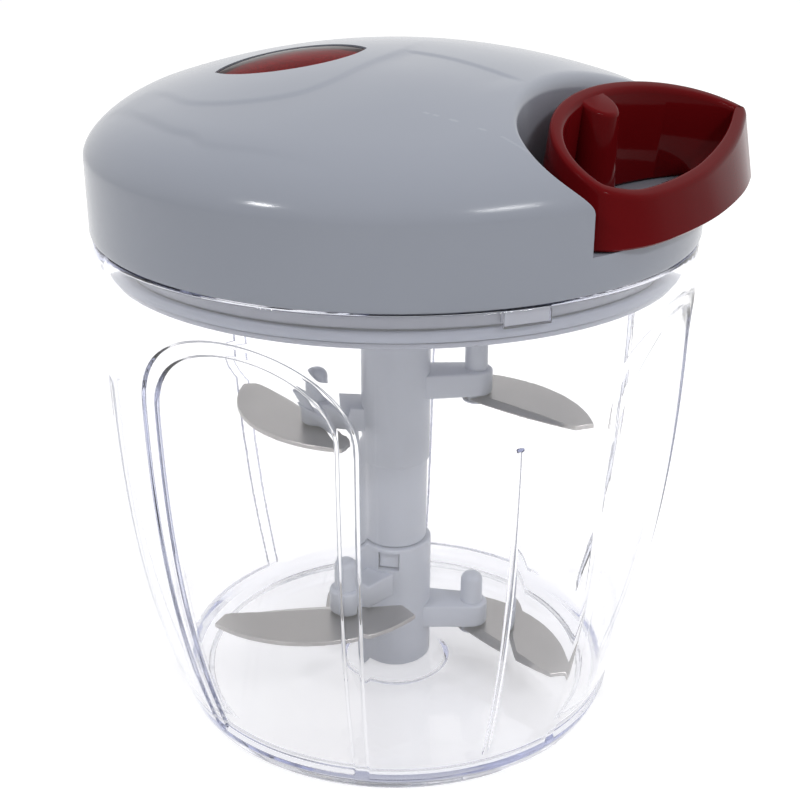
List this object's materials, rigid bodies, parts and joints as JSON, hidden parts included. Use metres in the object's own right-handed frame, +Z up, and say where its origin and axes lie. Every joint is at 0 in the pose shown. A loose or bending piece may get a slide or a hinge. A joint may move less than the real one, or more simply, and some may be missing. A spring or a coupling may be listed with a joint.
{
  "type": "food chopper",
  "caption": "Hand-held pull-cord food chopper: clear fluted bowl, domed lid with a cord reel and a ring handle in a pocket, sickle blades on a central column.",
  "frame": {"origin": "centre of the pad under the bowl, on the surface the chopper stands on", "axes": "+Z up along the axis of bowl, lid and blades; +X the way the handle pulls the cord out of the lid"},
  "size_m": [0.1333, 0.13, 0.1492],
  "materials": {
    "bowl_clear": "clear, moulded, glossy",
    "lid_grey": "blue-grey, glossy",
    "handle_red": "dark red, high gloss",
    "badge_red": "dark red, see-through",
    "column_blue": "pale blue-grey, satin",
    "inner_white": "natural white, plain",
    "blade_steel": "stainless, fine ground",
    "bright_steel": "bright steel",
    "cord": "braided",
    "seal": "soft, matt"
  },
  "bodies": {
    "bowl_body": {"bowl": "bowl_clear", "centre_pin": "bright_steel"},
    "lid_body": {"top_housing": "lid_grey", "badge_insert": "badge_red", "bottom_cover": "lid_grey", "seal_ring": "seal", "cord_eyelet": "inner_white", "housing_screw_1": "bright_steel", "housing_screw_2": "bright_steel", "housing_screw_3": "bright_steel", "housing_screw_4": "bright_steel", "reel_axle": "bright_steel", "spring_cup": "inner_white", "recoil_spring": "bright_steel"},
    "reel_body": {"cord_reel": "inner_white", "cord_winding": "cord", "reel_washer": "bright_steel"},
    "pawl_1_body": {"drive_pawl_1": "bright_steel"},
    "pawl_2_body": {"drive_pawl_2": "bright_steel"},
    "drive_body": {"drive_socket": "inner_white"},
    "handle_body": {"pull_handle": "handle_red", "cord_knot": "cord", "pull_cord": "cord"},
    "blade_body": {"upper_carrier": "column_blue", "lower_carrier": "column_blue", "blade_1": "blade_steel", "blade_2": "blade_steel", "blade_3": "blade_steel", "blade_4": "blade_steel", "blade_5": "blade_steel"}
  },
  "joints": [
    {"name": "lid_lift", "type": "slide", "parent": "bowl_body", "child": "lid_body", "axis": [0, 0, 1], "range_m": [0, 0.12]},
    {"name": "handle_pull", "type": "slide", "parent": "lid_body", "child": "handle_body", "axis": [1, 0, 0], "range_m": [0, 0.35], "stiffness_N_per_m": 8, "springref_m": -0.15},
    {"name": "reel_spin", "type": "hinge", "parent": "lid_body", "child": "reel_body", "pos_m": [0, 0, 0.128], "axis": [0, 0, -1], "range_deg": [-1, 2090]},
    {"name": "drive_spin", "type": "hinge", "parent": "lid_body", "child": "drive_body", "pos_m": [0, 0, 0.115], "axis": [0, 0, -1], "range_deg": [-1, 2090]},
    {"name": "blade_spin", "type": "hinge", "parent": "bowl_body", "child": "blade_body", "pos_m": [0, 0, 0.0042], "axis": [0, 0, -1], "range_deg": [-1, 2090]},
    {"name": "pawl_1_swing", "type": "hinge", "parent": "reel_body", "child": "pawl_1_body", "pos_m": [0.00731, 0.00372, 0.12], "axis": [0, 0, -1], "range_deg": [0, 12]},
    {"name": "pawl_2_swing", "type": "hinge", "parent": "reel_body", "child": "pawl_2_body", "pos_m": [-0.00731, -0.00372, 0.12], "axis": [0, 0, -1], "range_deg": [0, 12]}
  ],
  "couplings": [
    {"joint": "reel_spin", "follows": "handle_pull", "rad_per_m": 103.09},
    {"joint": "drive_spin", "follows": "handle_pull", "rad_per_m": 103.09},
    {"joint": "blade_spin", "follows": "handle_pull", "rad_per_m": 103.09}
  ]
}
